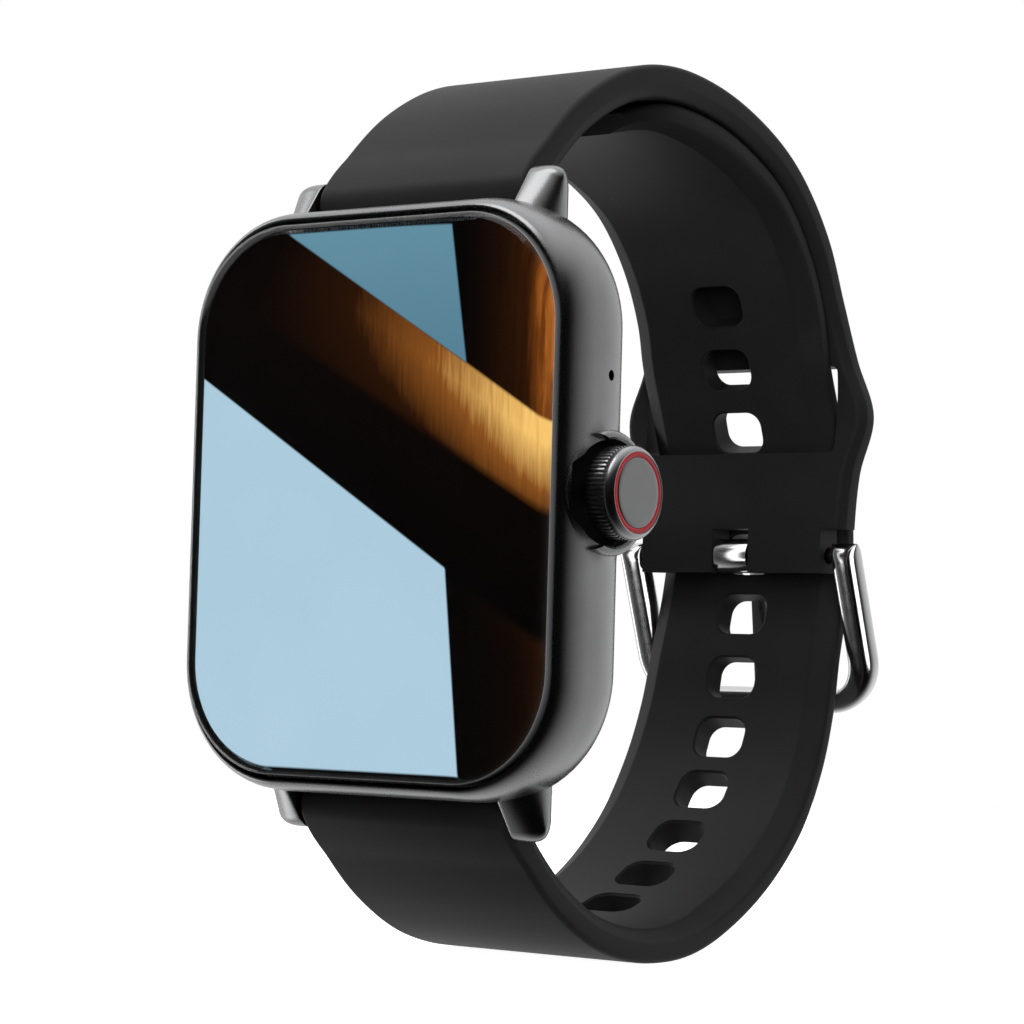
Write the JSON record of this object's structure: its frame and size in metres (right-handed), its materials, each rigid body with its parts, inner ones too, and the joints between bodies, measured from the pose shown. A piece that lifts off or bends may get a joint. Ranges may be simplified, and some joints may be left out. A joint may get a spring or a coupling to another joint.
{
  "type": "smartwatch",
  "caption": "Rectangular smartwatch with a pressable side crown, on a silicone strap closed by a tang buckle with its tail tucked through a slot.",
  "frame": {"origin": "centre of the sensor window's rear face, where the watch rests on its charger", "axes": "+X towards the crown, +Y from the display through the case towards the wrist, +Z towards the 12 o'clock side"},
  "size_m": [0.0396, 0.0588, 0.0711],
  "materials": {
    "case_metal": "satin anodised grey",
    "cover_glass": "polished",
    "screen": "lit display",
    "silicone": "matte",
    "buckle_steel": "polished",
    "bar_steel": "brushed",
    "crown_metal": "satin",
    "cap_metal": "matte",
    "red_enamel": "gloss",
    "back_plastic": "gloss",
    "sensor_glass": "polished",
    "seal_rubber": "matte",
    "flex_film": "satin film",
    "inner_plastic": "matte",
    "battery_foil": "foil",
    "circuit_board": "solder mask",
    "tin_plate": "tin plated",
    "led_plastic": "clear",
    "diode_glass": "gloss",
    "gold_contact": "plated",
    "bushing_brass": "turned",
    "code_plastic": "matte"
  },
  "bodies": {
    "watch": {"case_frame": "case_metal", "cover_glass": "cover_glass", "glass_gasket": "seal_rubber", "display_panel": "screen", "display_flex": "flex_film", "inner_frame": "inner_plastic", "battery": "battery_foil", "main_board": "circuit_board", "processor_shield": "tin_plate", "speaker": "inner_plastic", "speaker_mesh": "tin_plate", "microphone": "tin_plate", "vibration_motor": "tin_plate", "back_cover": "back_plastic", "back_gasket": "seal_rubber", "back_screws": "bar_steel", "sensor_window": "sensor_glass", "sensor_board": "circuit_board", "sensor_leds": "led_plastic", "photodiode": "diode_glass", "charging_pins": "gold_contact", "charging_magnets": "tin_plate", "crown_bushing": "bushing_brass", "crown_switch": "inner_plastic", "upper_strap": "silicone", "lower_strap": "silicone", "upper_bar_tube": "bar_steel", "upper_bar_spring": "bar_steel", "lower_bar_tube": "bar_steel", "lower_bar_spring": "bar_steel", "buckle_bar_tube": "bar_steel", "buckle_bar_spring": "bar_steel"},
    "crown_push": {"switch_plunger": "code_plastic"},
    "crown": {"crown_knob": "crown_metal", "crown_ring": "red_enamel", "crown_cap": "cap_metal", "crown_shaft": "bar_steel", "crown_oring": "seal_rubber", "crown_code_wheel": "code_plastic"},
    "motor_rotor": {"vibration_weight": "bar_steel"},
    "upper_tip": {"upper_bar_tip": "bar_steel"},
    "lower_tip": {"lower_bar_tip": "bar_steel"},
    "buckle_tip": {"buckle_bar_tip": "bar_steel"},
    "buckle": {"buckle_frame": "buckle_steel"},
    "tang": {"buckle_tang": "buckle_steel"}
  },
  "joints": [
    {"name": "crown_press", "type": "slide", "parent": "watch", "child": "crown_push", "axis": [-1, 0, 0], "range_m": [0, 0.0004], "stiffness_N_per_m": 1500, "springref_m": -0.0003},
    {"name": "crown_spin", "type": "hinge", "parent": "crown_push", "child": "crown", "pos_m": [0.018, -0.0058, 0.0005], "axis": [1, 0, 0], "continuous": true},
    {"name": "motor_spin", "type": "hinge", "parent": "watch", "child": "motor_rotor", "pos_m": [0, -0.006, 0.0166], "axis": [1, 0, 0], "continuous": true},
    {"name": "upper_tip_slide", "type": "slide", "parent": "watch", "child": "upper_tip", "axis": [1, 0, 0], "range_m": [0, 0.001], "stiffness_N_per_m": 400, "springref_m": -0.001, "deforming": ["upper_bar_spring"]},
    {"name": "lower_tip_slide", "type": "slide", "parent": "watch", "child": "lower_tip", "axis": [1, 0, 0], "range_m": [0, 0.001], "stiffness_N_per_m": 400, "springref_m": -0.001, "deforming": ["lower_bar_spring"]},
    {"name": "buckle_tip_slide", "type": "slide", "parent": "watch", "child": "buckle_tip", "axis": [1, 0, 0], "range_m": [0, 0.0008], "stiffness_N_per_m": 400, "springref_m": -0.001, "deforming": ["buckle_bar_spring"]},
    {"name": "buckle_swing", "type": "hinge", "parent": "watch", "child": "buckle", "pos_m": [0, 0.0404, -0.0021], "axis": [1, 0, 0], "range_deg": [0, 15]},
    {"name": "tang_swing", "type": "hinge", "parent": "buckle", "child": "tang", "pos_m": [0, 0.0404, -0.0021], "axis": [1, 0, 0], "range_deg": [0, 15]}
  ]
}
